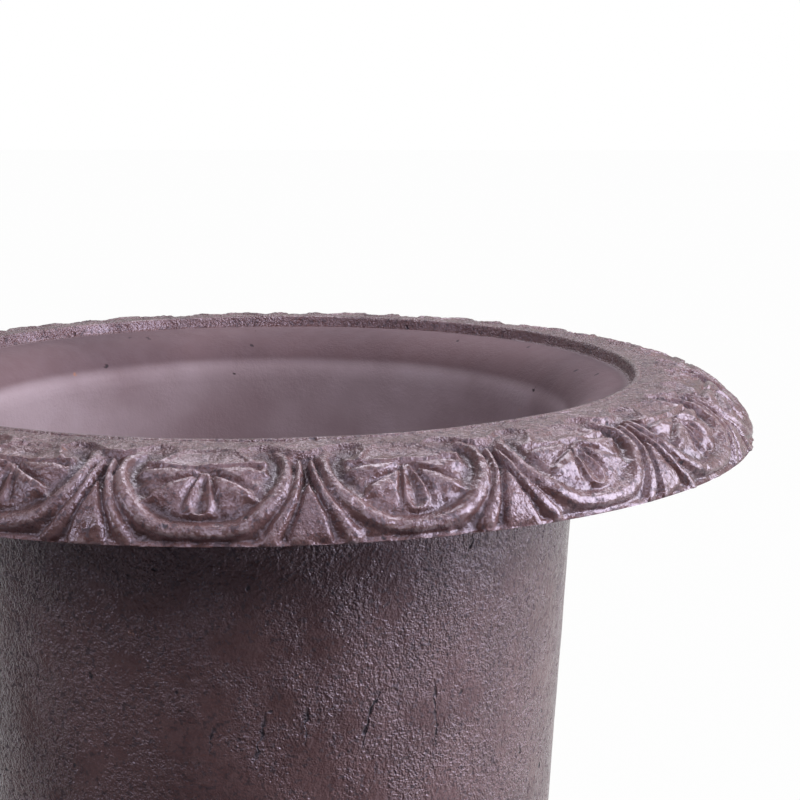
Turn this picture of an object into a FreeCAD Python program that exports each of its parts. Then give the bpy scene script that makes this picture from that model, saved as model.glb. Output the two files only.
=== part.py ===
import FreeCAD, Part
import math
import os
import re

import Sketcher

# A cast iron garden urn: a tapered pot with a carved everted rim on a gadrooned cup, a knop, a round
# foot and a square plinth. The castings are made one by one, as a foundry makes them, and are held
# together by a tie rod through the stem and by two rings of bolts.
# The origin is on the ground, under the middle of the plinth. +Z is up, lengths are in millimetres.

SIZES = {
    # Plinth: two square slabs with a slope between them, hollow below
    "plinth_height": 40,
    "plinth_slab": 22,
    "plinth_slope": 8,
    "plinth_ledge": 10,
    "plinth_margin": 6,
    "plinth_wall": 7,
    "plinth_web": 9,
    "weep_width": 24,
    "weep_height": 5,
    # Foot: a round base moulding, a hollow waist and a straight neck
    "foot_radius": 86,
    "foot_height": 81,
    "foot_wall": 6,
    "foot_torus": 14,
    "foot_torus_rise": 4,
    "foot_fillet": 3,
    "foot_ledge": 9,
    "foot_waist_rise": 10.5,
    "neck_radius": 36,
    "neck_wall": 8,
    "neck_height": 9,
    # Knop: the ring between the foot and the cup
    "knop_height": 24,
    "knop_collar": 3,
    "knop_rise": 8,
    # Cup: the round bottom of the pot, ribbed outside with gadroons
    "cup_height": 78,
    "cup_neck": 5,
    "cup_shoulder": 18,
    "cup_swell": 7,
    "cup_wall": 7,
    "cup_floor": 10,
    "gadroon_count": 20,
    "gadroon_depth": 5,
    "drain_diameter": 8,
    "drain_count": 4,
    # Flat ring that beds the body on the cup
    "gasket_thickness": 2,
    "gasket_inset": 1,
    # Body: the tapered barrel, with a flange inside at the bottom and outside at the top
    "body_height": 179,
    "body_top_radius": 119.5,
    "body_bottom_radius": 110,
    "body_wall": 6,
    "bead_height": 9,
    "bead_rise": 4,
    "inner_flange_thickness": 6,
    "outer_flange_thickness": 5,
    "flange_fillet": 1.5,
    "flange_margin": 1,
    # Rim: the bell mouth, the flat lip band and the swelling band that carries the carving
    "rim_height": 26,
    "rim_drop": 22.3,
    "rim_edge": 2.8,
    "rim_wall": 7,
    "bell_width": 26,
    "bell_rise": 6,
    "lip_step": 4.5,
    "lip_draft": 1,
    "lip_band": 13.5,
    "egg_top_width": 11,
    "egg_top_fall": 2,
    "egg_top_rise": 0.45,
    "ovolo_width": 31,
    "ovolo_rise": 2.95,
    "ovolo_hollow": 3.5,
    # Carving of the rim: eggs in their channels, and darts between two grooves
    "egg_count": 18,
    "egg_radius": 19,
    "egg_channel": 4,
    "dart_groove": 2.4,
    "dart_spread": 2,
    "carving_depth": 2.5,
    "carving_root": 1.5,
    "carving_reach": 12,
    # Bolts, nuts and washers, with the proportions of ordinary hexagon hardware
    "rod_diameter": 12,
    "rim_bolt_diameter": 6,
    "rim_bolt_count": 6,
    "cup_bolt_diameter": 8,
    "cup_bolt_count": 6,
    "thread_end": 4,
    "flats_ratio": 1.6,
    "head_ratio": 0.66,
    "nut_ratio": 0.82,
    "washer_ratio": 2,
    "washer_thickness": 1.6,
    # Clearances, on the diameter
    "bolt_clearance": 1,
    "thread_clearance": 0.2,
}

BOWL_RINGS = 7
SHOULDER_RINGS = 3

doc = FreeCAD.newDocument("GardenUrn")
sheet = doc.addObject("Spreadsheet::Sheet", "Sizes")
for row, (alias, number) in enumerate(SIZES.items(), start=1):
    sheet.set(f"A{row}", str(number))
    sheet.setAlias(f"A{row}", alias)
doc.recompute()


def value(text):
    """The number that an expression in the sizes' names gives."""
    return float(sheet.evalExpression(text))


def bound(text):
    """The same expression with every size pointing at its cell, as setExpression needs it."""
    return re.sub(r"[a-z_]+", lambda word: f"Sizes.{word[0]}" if word[0] in SIZES else word[0], text)


def bind(thing, **expressions):
    """Tie properties to the sheet; a double underscore in a name stands for a dot."""
    for name, text in expressions.items():
        thing.setExpression(name.replace("__", "."), bound(text))


# Heights at which the pieces sit on each other, from the ground up
FOOT_SEAT = "plinth_height"
KNOP_SEAT = f"{FOOT_SEAT} + foot_height"
CUP_SEAT = f"{KNOP_SEAT} + knop_height"
CUP_FLOOR = f"{CUP_SEAT} + cup_floor"
GASKET_SEAT = f"{CUP_SEAT} + cup_height"
CUP_FLANGE_UNDERSIDE = f"{GASKET_SEAT} - inner_flange_thickness"
BODY_SEAT = f"{GASKET_SEAT} + gasket_thickness"
BODY_FLANGE_TOP = f"{BODY_SEAT} + inner_flange_thickness"
RIM_SEAT = f"{BODY_SEAT} + body_height"
RIM_FLANGE_UNDERSIDE = f"{RIM_SEAT} - outer_flange_thickness"
WEB_UNDERSIDE = "plinth_height - plinth_web"

# Radii and sides that more than one piece shares
NECK_BORE = "(neck_radius - neck_wall)"
FOOT_RING = "(foot_radius - foot_torus_rise)"
BODY_TOP_BORE = "(body_top_radius - body_wall)"
BODY_BOTTOM_BORE = "(body_bottom_radius - body_wall)"
ROD_WASHER = "(washer_ratio * rod_diameter)"
CUP_BOLT_WASHER = "(washer_ratio * cup_bolt_diameter)"
RIM_BOLT_WASHER = "(washer_ratio * rim_bolt_diameter)"
CUP_BOLT_CIRCLE = f"({BODY_BOTTOM_BORE} - flange_margin - {CUP_BOLT_WASHER} / 2)"
INNER_FLANGE_BORE = f"({BODY_BOTTOM_BORE} - 2 * flange_margin - {CUP_BOLT_WASHER})"
RIM_BOLT_CIRCLE = f"(body_top_radius + flange_fillet + flange_margin + {RIM_BOLT_WASHER} / 2)"
OUTER_FLANGE_RADIUS = f"({RIM_BOLT_CIRCLE} + {RIM_BOLT_WASHER} / 2 + flange_margin)"
BELL_EDGE = f"({BODY_TOP_BORE} + bell_width)"
MOUTH_RADIUS = f"({BELL_EDGE} + lip_draft)"
CARVING_START = f"({MOUTH_RADIUS} + lip_band)"
RIM_RADIUS = f"({CARVING_START} + ovolo_width)"
FIELD_RADIUS = f"({RIM_RADIUS} - carving_depth)"
EGG_TOP = f"({CARVING_START} + egg_top_width)"
EGG_TOP_HEIGHT = "(rim_height - egg_top_fall)"
RIM_UNDERSIDE = "(rim_height - rim_drop)"
PLINTH_TOP_SIDE = "(2 * (foot_radius + plinth_margin))"
PLINTH_SIDE = f"({PLINTH_TOP_SIDE} + 2 * plinth_ledge)"
DRAIN_CIRCLE = f"(({NECK_BORE} + {ROD_WASHER} / 2) / 2)"
ROD_HOLE = "(rod_diameter + bolt_clearance)"


def new_body(label, seat):
    """An empty piece whose own base stands at the seat height."""
    body = doc.addObject("PartDesign::Body", label)
    bind(body, Placement__Base__z=seat)
    return body


def new_sketch(body, name, role):
    """A sketch on one of the piece's own origin planes."""
    sketch = body.newObject("Sketcher::SketchObject", name)
    plane = next(item for item in body.Origin.OriginFeatures if item.Role == role)
    sketch.AttachmentSupport = [(plane, "")]
    sketch.MapMode = "FlatFace"
    return sketch


def fix(sketch, kind, text, *ends):
    """Add one dimension to a sketch and tie it to its expression."""
    number = sketch.addConstraint(Sketcher.Constraint(kind, *ends, value(text)))
    sketch.setExpression(f"Constraints[{number}]", bound(text))


def arc_over(start, end, rise):
    """The arc from start to end that swells by rise to the right of the way there."""
    chord = end - start
    half = chord.Length / 2
    turn = 4 * math.atan(rise / half)
    left = FreeCAD.Vector(-chord.y, chord.x, 0).normalize()
    centre = (start + end) * 0.5 + left * (half / math.tan(turn / 2))
    first, last = (start, end) if rise > 0 else (end, start)
    first_angle = math.atan2(first.y - centre.y, first.x - centre.x)
    circle = Part.Circle(centre, FreeCAD.Vector(0, 0, 1), start.distanceToPoint(centre))
    return Part.ArcOfCircle(circle, first_angle, first_angle + abs(turn))


def tie(sketch, kind, text, edge, end):
    """Tie one coordinate of a point to an expression, on either side of the sketch's origin."""
    number = value(text)
    if number == 0:
        axis = -2 if kind == "DistanceX" else -1
        sketch.addConstraint(Sketcher.Constraint("PointOnObject", edge, end, axis))
    elif number > 0:
        fix(sketch, kind, text, -1, 1, edge, end)
    else:
        fix(sketch, kind, f"-({text})", edge, end, -1, 1)


def draw_outline(sketch, corners):
    """A closed outline, anticlockwise, with every corner tied to the sheet.

    A corner is (across, up) at the end of a straight edge, or (across, up, rise) at the end of an arc
    that swells out of the solid by rise, or hollows it where rise is negative.
    """
    points = [FreeCAD.Vector(value(corner[0]), value(corner[1]), 0) for corner in corners]
    edges = []
    for index, corner in enumerate(corners):
        start, end = points[index - 1], points[index]
        rise = value(corner[2]) if len(corner) == 3 else 0
        curve = arc_over(start, end, rise) if rise else Part.LineSegment(start, end)
        edge = sketch.addGeometry(curve, False)
        edges.append((edge, 2, 1) if rise < 0 else (edge, 1, 2))
    for index, corner in enumerate(corners):
        before, _, before_last = edges[index - 1]
        edge, first, last = edges[index]
        sketch.addConstraint(Sketcher.Constraint("Coincident", before, before_last, edge, first))
        tie(sketch, "DistanceX", corner[0], edge, last)
        tie(sketch, "DistanceY", corner[1], edge, last)
        if len(corner) == 3:
            across = f"({corner[0]} - ({corners[index - 1][0]}))"
            upward = f"({corner[1]} - ({corners[index - 1][1]}))"
            turn = f"4 * atan(2 * abs({corner[2]}) / sqrt({across} ^ 2 + {upward} ^ 2))"
            number = sketch.addConstraint(Sketcher.Constraint("Angle", edge, math.radians(value(turn))))
            sketch.setExpression(f"Constraints[{number}]", bound(turn))


def turned(label, seat, corners):
    """A piece made by turning an outline of (radius, height) once round its own axis."""
    body = new_body(label, seat)
    sketch = new_sketch(body, f"{label}_outline", "XZ_Plane")
    draw_outline(sketch, corners)
    revolution = body.newObject("PartDesign::Revolution", f"{label}_turned")
    revolution.Profile = sketch
    revolution.ReferenceAxis = (sketch, ["V_Axis"])
    revolution.Angle = 360
    doc.recompute()
    return body


def draw_circle(sketch, diameter, across="0"):
    """A circle on the sketch's own X axis."""
    centre = FreeCAD.Vector(value(across), 0, 0)
    edge = sketch.addGeometry(Part.Circle(centre, FreeCAD.Vector(0, 0, 1), value(diameter) / 2), False)
    tie(sketch, "DistanceX", across, edge, 3)
    tie(sketch, "DistanceY", "0", edge, 3)
    fix(sketch, "Diameter", diameter, edge)


def cut_round(body, name, sketch, depth, count, upwards=False):
    """Cut a sketch into a piece and repeat the cut round the piece's own axis."""
    volume_before = body.Shape.Volume
    pocket = body.newObject("PartDesign::Pocket", name)
    pocket.Profile = sketch
    pocket.Reversed = upwards
    bind(pocket, Length=depth)
    doc.recompute()
    ring = body.newObject("PartDesign::PolarPattern", f"{name}_ring")
    ring.Originals = [pocket]
    ring.Axis = (next(item for item in body.Origin.OriginFeatures if item.Role == "Z_Axis"), [""])
    ring.Angle = 360
    bind(ring, Occurrences=count)
    body.Tip = ring
    doc.recompute()
    if body.Shape.Volume >= volume_before:
        raise RuntimeError(f"{name} cuts nothing")


def drill_ring(body, name, circle, diameter, depth, count):
    """A ring of equal holes, drilled upwards from the piece's base plane."""
    sketch = new_sketch(body, f"{name}_sketch", "XY_Plane")
    draw_circle(sketch, diameter, circle)
    cut_round(body, name, sketch, depth, count, upwards=True)


def add_part(kind, name, **expressions):
    """One primitive of the document, with its sizes tied to the sheet."""
    part = doc.addObject(kind, name)
    bind(part, **expressions)
    return part


def cylinder(name, diameter, height, base="0"):
    """A round bar on the axis, standing on base."""
    return add_part("Part::Cylinder", name, Radius=f"({diameter}) / 2", Height=height,
                    Placement__Base__z=base)


def block(name, length, width, height, base="0"):
    """A square-cornered block centred on the axis, standing on base."""
    return add_part("Part::Box", name, Length=length, Width=width, Height=height,
                    Placement__Base__x=f"-({length}) / 2", Placement__Base__y=f"-({width}) / 2",
                    Placement__Base__z=base)


def combine(kind, name, base, tool):
    """Two solids cut, fused or shared."""
    result = doc.addObject(kind, name)
    result.Base = base
    result.Tool = tool
    return result


def fuse_all(name, parts):
    """Several solids as one."""
    fused = doc.addObject("Part::MultiFuse", name)
    fused.Shapes = parts
    return fused


def ring_of(name, count, circle, make):
    """Equal pieces round the axis, the first on the X axis, as one group."""
    members = []
    for index in range(int(value(count))):
        member = make(f"{name}_{index + 1}")
        turn = f"{index} * 360 deg / {count}"
        bind(member, Placement__Base__x=f"{circle} * cos({turn})",
             Placement__Base__y=f"{circle} * sin({turn})")
        members.append(member)
    group = doc.addObject("Part::Compound", name)
    group.Links = members
    return group


def hexagon(name, diameter, height, base="0"):
    """A hexagonal head or nut for that thread, its upper corners taken off by a cone."""
    flats = f"flats_ratio * {diameter}"
    prism = add_part("Part::Prism", f"{name}_prism", Circumradius=f"{flats} / sqrt(3)", Height=height,
                     Placement__Base__z=base)
    prism.Polygon = 6
    cone = add_part("Part::Cone", f"{name}_cone", Radius1=f"{flats} / 2 + {height} * sqrt(3)",
                    Radius2=f"{flats} / 2", Height=height, Placement__Base__z=base)
    return combine("Part::Common", f"{name}_hexagon", prism, cone)


def washer(name, diameter):
    """A flat washer for that thread, on its base plane."""
    disc = cylinder(f"{name}_disc", f"washer_ratio * {diameter}", "washer_thickness")
    hole = cylinder(f"{name}_hole", f"{diameter} + bolt_clearance", "washer_thickness")
    return combine("Part::Cut", name, disc, hole)


def nut(name, diameter):
    """A hexagon nut on its base plane, chamfered side up."""
    height = f"nut_ratio * {diameter}"
    hole = cylinder(f"{name}_hole", f"{diameter} + thread_clearance", height)
    return combine("Part::Cut", name, hexagon(name, diameter, height), hole)


def bolt(name, diameter, length):
    """A hexagon bolt with its head above its base plane and its shank below."""
    head = hexagon(name, diameter, f"head_ratio * {diameter}")
    shank = cylinder(f"{name}_shank", diameter, length, f"-({length})")
    return combine("Part::Fuse", name, head, shank)


def turned_over(part):
    """The same piece upside down, for what sits under a flange."""
    part.Placement.Rotation = FreeCAD.Rotation(FreeCAD.Vector(1, 0, 0), 180)
    return part


def make_plinth():
    slab = block("plinth_lower_slab", PLINTH_SIDE, PLINTH_SIDE, "plinth_slab")
    upper_height = "(plinth_height - plinth_slab - plinth_slope)"
    upper = block("plinth_upper_slab", PLINTH_TOP_SIDE, PLINTH_TOP_SIDE, upper_height,
                  "plinth_slab + plinth_slope")
    half_side, half_top = f"{PLINTH_SIDE} / 2", f"{PLINTH_TOP_SIDE} / 2"
    slope = add_part("Part::Wedge", "plinth_sloping_edge", Ymin="0", Ymax="plinth_slope",
                     Xmin=f"-{half_side}", Xmax=half_side, Zmin=f"-{half_side}", Zmax=half_side,
                     X2min=f"-{half_top}", X2max=half_top, Z2min=f"-{half_top}", Z2max=half_top,
                     Placement__Base__z="plinth_slab")
    slope.Placement.Rotation = FreeCAD.Rotation(FreeCAD.Vector(1, 0, 0), 90)
    lower_hollow = f"({PLINTH_SIDE} - 2 * plinth_wall)"
    upper_hollow = f"({PLINTH_TOP_SIDE} - 2 * plinth_wall)"
    cuts = [
        block("plinth_lower_hollow", lower_hollow, lower_hollow, "plinth_slab - plinth_wall"),
        block("plinth_upper_hollow", upper_hollow, upper_hollow, WEB_UNDERSIDE),
        block("plinth_weep_x", PLINTH_SIDE, "weep_width", "weep_height"),
        block("plinth_weep_y", "weep_width", PLINTH_SIDE, "weep_height"),
        cylinder("plinth_rod_hole", ROD_HOLE, "plinth_height"),
        ring_of("plinth_drains", "drain_count", "neck_radius",
                lambda name: cylinder(name, "drain_diameter", "plinth_height")),
    ]
    return combine("Part::Cut", "plinth", fuse_all("plinth_slabs", [slab, slope, upper]),
                   fuse_all("plinth_cuts", cuts))


def make_foot():
    ledge = f"({FOOT_RING} - foot_ledge)"
    neck_foot = "(foot_height - neck_height)"
    return turned("foot", FOOT_SEAT, [
        (f"{ledge} - foot_wall", "0"),
        (FOOT_RING, "0"),
        (FOOT_RING, "foot_torus", "foot_torus_rise"),
        (ledge, "foot_torus"),
        (ledge, "foot_torus + foot_fillet"),
        ("neck_radius", neck_foot, "-foot_waist_rise"),
        ("neck_radius", "foot_height"),
        (NECK_BORE, "foot_height"),
        (NECK_BORE, neck_foot),
        (f"{ledge} - foot_wall", "foot_torus", "foot_waist_rise"),
    ])


def make_knop():
    return turned("knop", KNOP_SEAT, [
        (NECK_BORE, "0"),
        ("neck_radius", "0"),
        ("neck_radius", "knop_collar"),
        ("neck_radius", "knop_height - knop_collar", "knop_rise"),
        ("neck_radius", "knop_height"),
        (NECK_BORE, "knop_height"),
    ])


def gadroon_ring(radius, depth, height):
    """A scalloped ring: one arc over each gadroon, the arcs meeting in the grooves between them."""
    count = int(value("gadroon_count"))
    arcs = []
    for index in range(count):
        angles = [2 * math.pi * (index + part) / count for part in (-0.5, 0, 0.5)]
        radii = (radius - depth, radius, radius - depth)
        ends = [FreeCAD.Vector(r * math.cos(a), r * math.sin(a), height) for r, a in zip(radii, angles)]
        arcs.append(Part.Arc(*ends).toShape())
    return Part.Wire(arcs)


def quarter_oval(start_radius, end_radius, start_height, end_height, share):
    """A point on the quarter oval that leaves its start level and reaches its end upright."""
    angle = share * math.pi / 2
    radius = start_radius + (end_radius - start_radius) * math.sin(angle)
    return radius, start_height + (end_height - start_height) * (1 - math.cos(angle))


def make_cup():
    neck, top_radius = value("neck_radius"), value("body_bottom_radius")
    swell = value("body_bottom_radius + cup_swell")
    shoulder, top = value("cup_height - cup_shoulder"), value("cup_height")
    depth = value("gadroon_depth")
    rings = []
    for step in range(BOWL_RINGS + 1):
        radius, height = quarter_oval(neck, swell, value("cup_neck"), shoulder, step / BOWL_RINGS)
        rings.append(gadroon_ring(radius, depth * (radius - neck) / (swell - neck), height))
    for step in reversed(range(SHOULDER_RINGS)):
        radius, height = quarter_oval(top_radius, swell, top, shoulder, step / SHOULDER_RINGS)
        rings.append(gadroon_ring(radius, depth * (radius - top_radius) / (swell - top_radius), height))
    bowl = Part.makeLoft(rings, True, False)
    outside = bowl.fuse(Part.makeCylinder(neck, value("cup_neck")))

    inner_radius = swell - depth - value("cup_wall")
    floor, flange = value("cup_floor"), top - value("inner_flange_thickness")
    flange_bore = value(INNER_FLANGE_BORE)
    halfway = quarter_oval(neck, inner_radius, floor, shoulder, 0.5)
    places = [(0, floor), (neck, floor), halfway, (inner_radius, shoulder), (inner_radius, flange),
              (flange_bore, flange), (flange_bore, top), (0, top)]
    points = [FreeCAD.Vector(radius, 0, height) for radius, height in places]
    wall = [Part.LineSegment(points[0], points[1]), Part.Arc(*points[1:4])]
    wall += [Part.LineSegment(*pair) for pair in zip(points[3:], points[4:] + points[:1])]
    hollow_face = Part.Face(Part.Wire([curve.toShape() for curve in wall]))
    cuts = [hollow_face.revolve(FreeCAD.Vector(0, 0, 0), FreeCAD.Vector(0, 0, 1), 360)]
    cuts.append(Part.makeCylinder(value(ROD_HOLE) / 2, floor))
    rings_of_holes = (
        ("drain_count", DRAIN_CIRCLE, "drain_diameter", 0, floor),
        ("cup_bolt_count", CUP_BOLT_CIRCLE, "cup_bolt_diameter + bolt_clearance", flange, top),
    )
    for count, circle, diameter, low, high in rings_of_holes:
        for index in range(int(value(count))):
            angle = 2 * math.pi * index / value(count)
            place = FreeCAD.Vector(value(circle) * math.cos(angle), value(circle) * math.sin(angle), low)
            cuts.append(Part.makeCylinder(value(diameter) / 2, high - low, place))
    cup = doc.addObject("Part::Feature", "cup")
    cup.Shape = outside.cut(cuts)
    bind(cup, Placement__Base__z=CUP_SEAT)
    return cup


def make_cup_gasket():
    gasket = turned("cup_gasket", GASKET_SEAT, [
        (INNER_FLANGE_BORE, "0"),
        ("body_bottom_radius - gasket_inset", "0"),
        ("body_bottom_radius - gasket_inset", "gasket_thickness"),
        (INNER_FLANGE_BORE, "gasket_thickness"),
    ])
    drill_ring(gasket, "gasket_bolt_holes", CUP_BOLT_CIRCLE, "cup_bolt_diameter + bolt_clearance",
               "gasket_thickness", "cup_bolt_count")
    return gasket


def make_body():
    flange_underside = "(body_height - outer_flange_thickness)"
    body = turned("body", BODY_SEAT, [
        (INNER_FLANGE_BORE, "0"),
        ("body_bottom_radius", "0"),
        ("body_bottom_radius", "bead_height", "bead_rise"),
        ("body_top_radius", f"{flange_underside} - flange_fillet"),
        ("body_top_radius + flange_fillet", flange_underside),
        (OUTER_FLANGE_RADIUS, flange_underside),
        (OUTER_FLANGE_RADIUS, "body_height"),
        (BODY_TOP_BORE, "body_height"),
        (BODY_BOTTOM_BORE, "inner_flange_thickness"),
        (INNER_FLANGE_BORE, "inner_flange_thickness"),
    ])
    drill_ring(body, "body_cup_bolt_holes", CUP_BOLT_CIRCLE, "cup_bolt_diameter + bolt_clearance",
               "inner_flange_thickness", "cup_bolt_count")
    drill_ring(body, "body_rim_bolt_holes", RIM_BOLT_CIRCLE, "rim_bolt_diameter + bolt_clearance",
               "body_height", "rim_bolt_count")
    return body


def sloping_sketch(body, name):
    """A sketch outside the swelling band, towards -Y, that faces the middle of the band squarely."""
    sketch = new_sketch(body, name, "XZ_Plane")
    slope = FreeCAD.Rotation(FreeCAD.Vector(1, 0, 0), -45)
    sketch.AttachmentOffset = FreeCAD.Placement(FreeCAD.Vector(), slope)
    bind(sketch, AttachmentOffset__Base__y=f"{EGG_TOP_HEIGHT} + carving_reach",
         AttachmentOffset__Base__z=f"{EGG_TOP} + carving_reach")
    return sketch


def carve_eggs(relief):
    """Cut through a ring of relief round each egg, one of which faces -Y, and beside each dart."""
    channel = sloping_sketch(relief, "egg_channels_sketch")
    draw_circle(channel, "2 * egg_radius")
    draw_circle(channel, "2 * (egg_radius + egg_channel)")
    cut_round(relief, "egg_channels", channel, "3 * carving_reach", "egg_count")
    grooves = sloping_sketch(relief, "dart_grooves_sketch")
    half_pitch = f"{EGG_TOP} * tan(180 deg / egg_count)"
    beyond_edge = "-1.1 * (rim_drop + ovolo_width - egg_top_width) / sqrt(2)"
    groove = [
        (half_pitch, "egg_channel"),
        (f"{half_pitch} - dart_groove", "egg_channel"),
        (f"{half_pitch} - dart_groove - dart_spread", beyond_edge),
        (f"{half_pitch} - dart_spread", beyond_edge),
    ]
    draw_outline(grooves, groove)
    draw_outline(grooves, [(f"-({across})", up) for across, up in reversed(groove)])
    cut_round(relief, "dart_grooves", grooves, "3 * carving_reach", "egg_count")


def make_rim():
    field_top = f"{EGG_TOP_HEIGHT} - carving_depth"
    core = turned("rim_core", RIM_SEAT, [
        (BODY_TOP_BORE, "0", "bell_rise"),
        (OUTER_FLANGE_RADIUS, "0"),
        (OUTER_FLANGE_RADIUS, "outer_flange_thickness"),
        (f"{BODY_TOP_BORE} + rim_wall", "outer_flange_thickness"),
        (BELL_EDGE, "rim_height - lip_step - rim_wall", "-bell_rise / 2"),
        (CARVING_START, "rim_height - rim_wall"),
        (f"{RIM_RADIUS} - rim_wall", RIM_UNDERSIDE, "-ovolo_hollow"),
        (FIELD_RADIUS, RIM_UNDERSIDE),
        (FIELD_RADIUS, f"{RIM_UNDERSIDE} + rim_edge"),
        (EGG_TOP, field_top, "ovolo_rise"),
        (EGG_TOP, EGG_TOP_HEIGHT),
        (CARVING_START, "rim_height", "egg_top_rise"),
        (MOUTH_RADIUS, "rim_height"),
        (BELL_EDGE, "rim_height - lip_step"),
    ])
    drill_ring(core, "rim_tapped_holes", RIM_BOLT_CIRCLE, "rim_bolt_diameter + thread_clearance",
               "outer_flange_thickness", "rim_bolt_count")
    relief = turned("rim_relief", RIM_SEAT, [
        (f"{FIELD_RADIUS} - carving_root", RIM_UNDERSIDE, "-ovolo_rise"),
        (RIM_RADIUS, RIM_UNDERSIDE),
        (RIM_RADIUS, f"{RIM_UNDERSIDE} + rim_edge"),
        (EGG_TOP, EGG_TOP_HEIGHT, "ovolo_rise"),
        (EGG_TOP, f"{field_top} - carving_root"),
    ])
    relief.AllowCompound = True
    carve_eggs(relief)
    return combine("Part::Fuse", "rim", core, relief)


def make_rim_bolts():
    length = "(washer_thickness + 2 * outer_flange_thickness)"
    bolts = ring_of("rim_bolts", "rim_bolt_count", RIM_BOLT_CIRCLE,
                    lambda name: turned_over(bolt(name, "rim_bolt_diameter", length)))
    bind(bolts, Placement__Base__z=f"{RIM_FLANGE_UNDERSIDE} - washer_thickness")
    return bolts


def make_rim_washers():
    washers = ring_of("rim_washers", "rim_bolt_count", RIM_BOLT_CIRCLE,
                      lambda name: turned_over(washer(name, "rim_bolt_diameter")))
    bind(washers, Placement__Base__z=RIM_FLANGE_UNDERSIDE)
    return washers


def make_cup_bolts():
    clamped = "2 * inner_flange_thickness + gasket_thickness + 2 * washer_thickness"
    length = f"({clamped} + nut_ratio * cup_bolt_diameter + thread_end)"
    bolts = ring_of("cup_bolts", "cup_bolt_count", CUP_BOLT_CIRCLE,
                    lambda name: bolt(name, "cup_bolt_diameter", length))
    bind(bolts, Placement__Base__z=f"{BODY_FLANGE_TOP} + washer_thickness")
    return bolts


def make_cup_washers():
    upper = ring_of("cup_upper_washers", "cup_bolt_count", CUP_BOLT_CIRCLE,
                    lambda name: washer(name, "cup_bolt_diameter"))
    lower = ring_of("cup_lower_washers", "cup_bolt_count", CUP_BOLT_CIRCLE,
                    lambda name: turned_over(washer(name, "cup_bolt_diameter")))
    bind(upper, Placement__Base__z=BODY_FLANGE_TOP)
    bind(lower, Placement__Base__z=CUP_FLANGE_UNDERSIDE)
    both = doc.addObject("Part::Compound", "cup_washers")
    both.Links = [upper, lower]
    return both


def make_cup_nuts():
    nuts = ring_of("cup_nuts", "cup_bolt_count", CUP_BOLT_CIRCLE,
                   lambda name: turned_over(nut(name, "cup_bolt_diameter")))
    bind(nuts, Placement__Base__z=f"{CUP_FLANGE_UNDERSIDE} - washer_thickness")
    return nuts


def make_tie_rod():
    """The threaded rod through the stem, its washers and its nuts."""
    beyond = "(washer_thickness + nut_ratio * rod_diameter + thread_end)"
    rod = cylinder("tie_rod", "rod_diameter", f"{CUP_FLOOR} - ({WEB_UNDERSIDE}) + 2 * {beyond}",
                   f"{WEB_UNDERSIDE} - {beyond}")
    top_washer = washer("tie_rod_top_washer", "rod_diameter")
    top_nut = nut("tie_rod_top_nut", "rod_diameter")
    bottom_washer = turned_over(washer("tie_rod_bottom_washer", "rod_diameter"))
    bottom_nut = turned_over(nut("tie_rod_bottom_nut", "rod_diameter"))
    bind(top_washer, Placement__Base__z=CUP_FLOOR)
    bind(top_nut, Placement__Base__z=f"{CUP_FLOOR} + washer_thickness")
    bind(bottom_washer, Placement__Base__z=WEB_UNDERSIDE)
    bind(bottom_nut, Placement__Base__z=f"{WEB_UNDERSIDE} - washer_thickness")
    return [rod, top_washer, top_nut, bottom_washer, bottom_nut]


pieces = [
    make_plinth(), make_foot(), make_knop(), make_cup(), make_cup_gasket(), make_body(), make_rim(),
    make_rim_bolts(), make_rim_washers(), make_cup_bolts(), make_cup_washers(), make_cup_nuts(),
]
pieces += make_tie_rod()
doc.recompute()

for thing in doc.Objects:
    if {"Invalid", "Error"} & set(thing.State):
        raise RuntimeError(f"{thing.Label} did not compute: {thing.State}")
for piece in pieces:
    if piece.Shape.isNull() or not piece.Shape.isValid():
        raise RuntimeError(f"{piece.Label} has no valid shape")

os.makedirs("parts", exist_ok=True)
for piece in pieces:
    piece.Shape.exportStep(os.path.join("parts", f"{piece.Label}.step"))
    box = piece.Shape.optimalBoundingBox()
    print(f"{piece.Label}: {len(piece.Shape.Solids)} solids, {piece.Shape.Volume / 1000:.1f} cm3,"
          f" z {box.ZMin:.1f} to {box.ZMax:.1f}, across {box.XLength:.1f}")
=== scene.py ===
import math

import bpy
import numpy as np
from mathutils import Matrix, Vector, noise


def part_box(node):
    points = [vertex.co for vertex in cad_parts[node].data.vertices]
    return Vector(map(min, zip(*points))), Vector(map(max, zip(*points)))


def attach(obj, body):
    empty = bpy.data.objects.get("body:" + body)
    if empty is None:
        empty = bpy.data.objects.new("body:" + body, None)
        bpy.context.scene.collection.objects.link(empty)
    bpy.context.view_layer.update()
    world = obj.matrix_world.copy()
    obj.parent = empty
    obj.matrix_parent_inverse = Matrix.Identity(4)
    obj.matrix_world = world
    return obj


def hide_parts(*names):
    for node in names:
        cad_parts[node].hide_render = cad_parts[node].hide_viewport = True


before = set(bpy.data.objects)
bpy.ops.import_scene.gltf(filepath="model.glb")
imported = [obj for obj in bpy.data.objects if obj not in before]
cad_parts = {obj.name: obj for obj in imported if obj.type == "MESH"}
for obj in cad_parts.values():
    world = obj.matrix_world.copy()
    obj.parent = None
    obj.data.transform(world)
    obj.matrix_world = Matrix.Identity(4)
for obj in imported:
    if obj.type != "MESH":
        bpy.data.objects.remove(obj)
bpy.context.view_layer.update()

# A cast iron garden urn with an egg and dart rim. The castings are modelled afresh over the CAD solids,
# with their carving, rounded edges and the slight unevenness of sand casting. Bolts, nuts, washers, tie rod
# and gasket keep their CAD shape. Outlines and carving are in millimetres, Blender is in metres.
MM = 0.001


def levels(node):
    """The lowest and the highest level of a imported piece, in millimetres."""
    return [corner[2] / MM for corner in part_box(node)]


def reach(node):
    """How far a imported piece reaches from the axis, in millimetres."""
    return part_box(node)[1][0] / MM


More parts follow.
